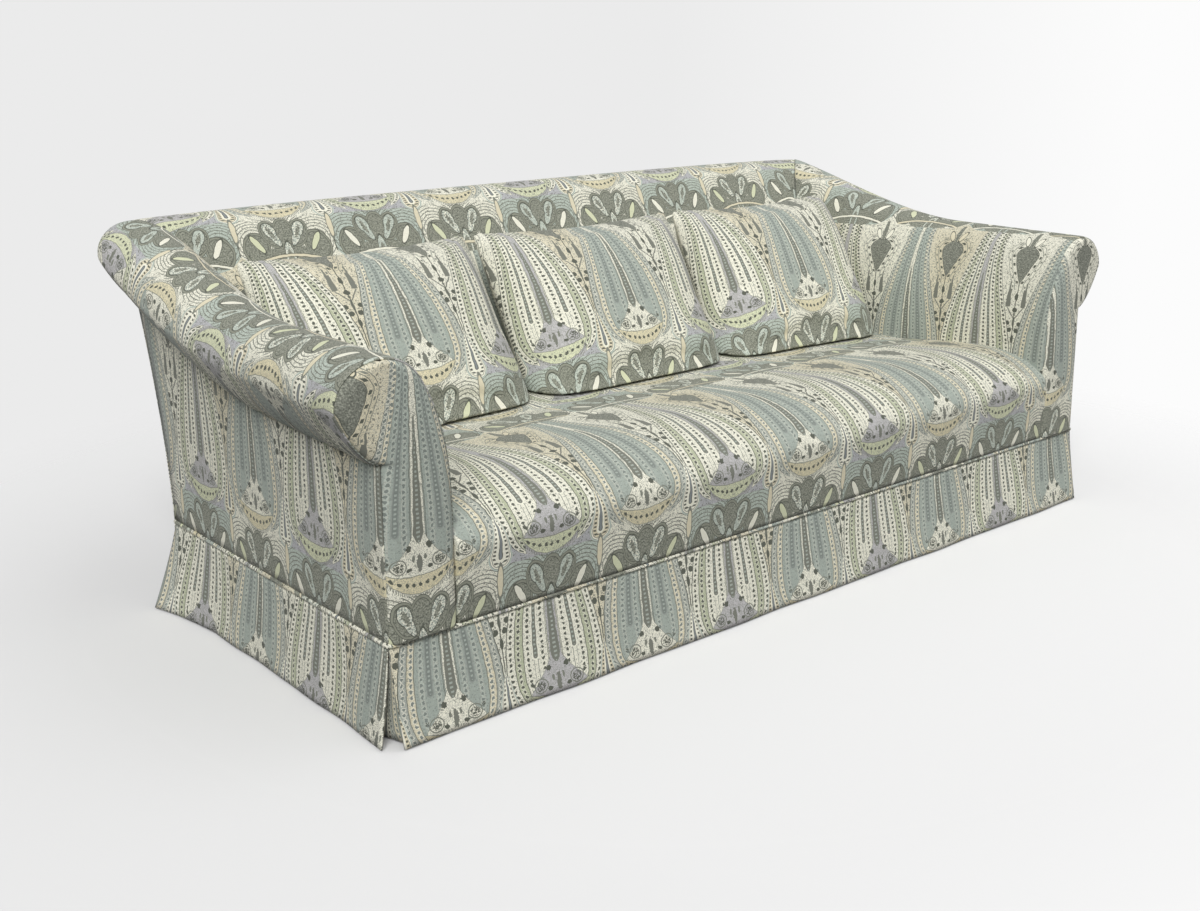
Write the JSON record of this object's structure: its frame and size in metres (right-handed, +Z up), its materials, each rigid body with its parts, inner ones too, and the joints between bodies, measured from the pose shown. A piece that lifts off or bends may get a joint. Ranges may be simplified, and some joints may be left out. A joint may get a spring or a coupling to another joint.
{
  "type": "three-seater sofa",
  "caption": "Upholstered sofa with sloping scroll arms that run up into a rolled back, a tight crowned seat, loose back cushions and a tailored skirt with corner pleats.",
  "frame": {"origin": "on the floor, at the middle of the bounding box's underside", "axes": "+X to the right of someone who faces the sofa, +Y towards the back, +Z up; the seat faces -Y"},
  "size_m": [2.258, 1.1312, 0.842],
  "materials": {
    "cover_fabric": "matte",
    "piping_fabric": "matte",
    "padding": "matte",
    "jute": "matte",
    "dust_cloth": "matte",
    "frame_wood": "satin",
    "leg_wood": "satin",
    "spring_steel": "satin",
    "glide_steel": "polished"
  },
  "bodies": {
    "sofa_body": {"front_seat_rail": "frame_wood", "back_seat_rail": "frame_wood", "left_side_rail": "frame_wood", "right_side_rail": "frame_wood", "seat_cross_rails": "frame_wood", "corner_blocks": "frame_wood", "left_front_post": "frame_wood", "right_front_post": "frame_wood", "left_back_post": "frame_wood", "right_back_post": "frame_wood", "lower_back_rail": "frame_wood", "top_back_rail": "frame_wood", "back_uprights": "frame_wood", "left_arm_top_rail": "frame_wood", "right_arm_top_rail": "frame_wood", "left_arm_lower_rail": "frame_wood", "right_arm_lower_rail": "frame_wood", "legs": "leg_wood", "leg_glides": "glide_steel", "seat_springs": "spring_steel", "spring_clips": "spring_steel", "seat_platform": "jute", "back_webbing": "jute", "left_arm_lining": "jute", "right_arm_lining": "jute", "seat_padding": "padding", "back_padding": "padding", "left_arm_padding": "padding", "right_arm_padding": "padding", "seat_cover": "cover_fabric", "inside_back_cover": "cover_fabric", "outside_back_cover": "cover_fabric", "left_arm_cover": "cover_fabric", "right_arm_cover": "cover_fabric", "left_arm_outside_cover": "cover_fabric", "right_arm_outside_cover": "cover_fabric", "left_arm_front_panel": "cover_fabric", "right_arm_front_panel": "cover_fabric", "dust_cover": "dust_cloth", "skirt_front": "cover_fabric", "skirt_back": "cover_fabric", "skirt_left": "cover_fabric", "skirt_right": "cover_fabric", "kick_pleats": "cover_fabric", "skirt_piping": "piping_fabric"},
    "left_back_cushion": {"left_cushion_cover": "cover_fabric", "left_cushion_filling": "padding", "left_cushion_zip_panel": "cover_fabric"},
    "centre_back_cushion": {"centre_cushion_cover": "cover_fabric", "centre_cushion_filling": "padding", "centre_cushion_zip_panel": "cover_fabric"},
    "right_back_cushion": {"right_cushion_cover": "cover_fabric", "right_cushion_filling": "padding", "right_cushion_zip_panel": "cover_fabric"}
  },
  "joints": [
    {"name": "left_cushion_lift", "type": "slide", "parent": "sofa_body", "child": "left_back_cushion", "axis": [-0.035, 0.4845, 0.8741], "range_m": [0, 0.5]},
    {"name": "centre_cushion_lift", "type": "slide", "parent": "sofa_body", "child": "centre_back_cushion", "axis": [0, 0.4848, 0.8746], "range_m": [0, 0.5]},
    {"name": "right_cushion_lift", "type": "slide", "parent": "sofa_body", "child": "right_back_cushion", "axis": [0.035, 0.4845, 0.8741], "range_m": [0, 0.5]}
  ]
}
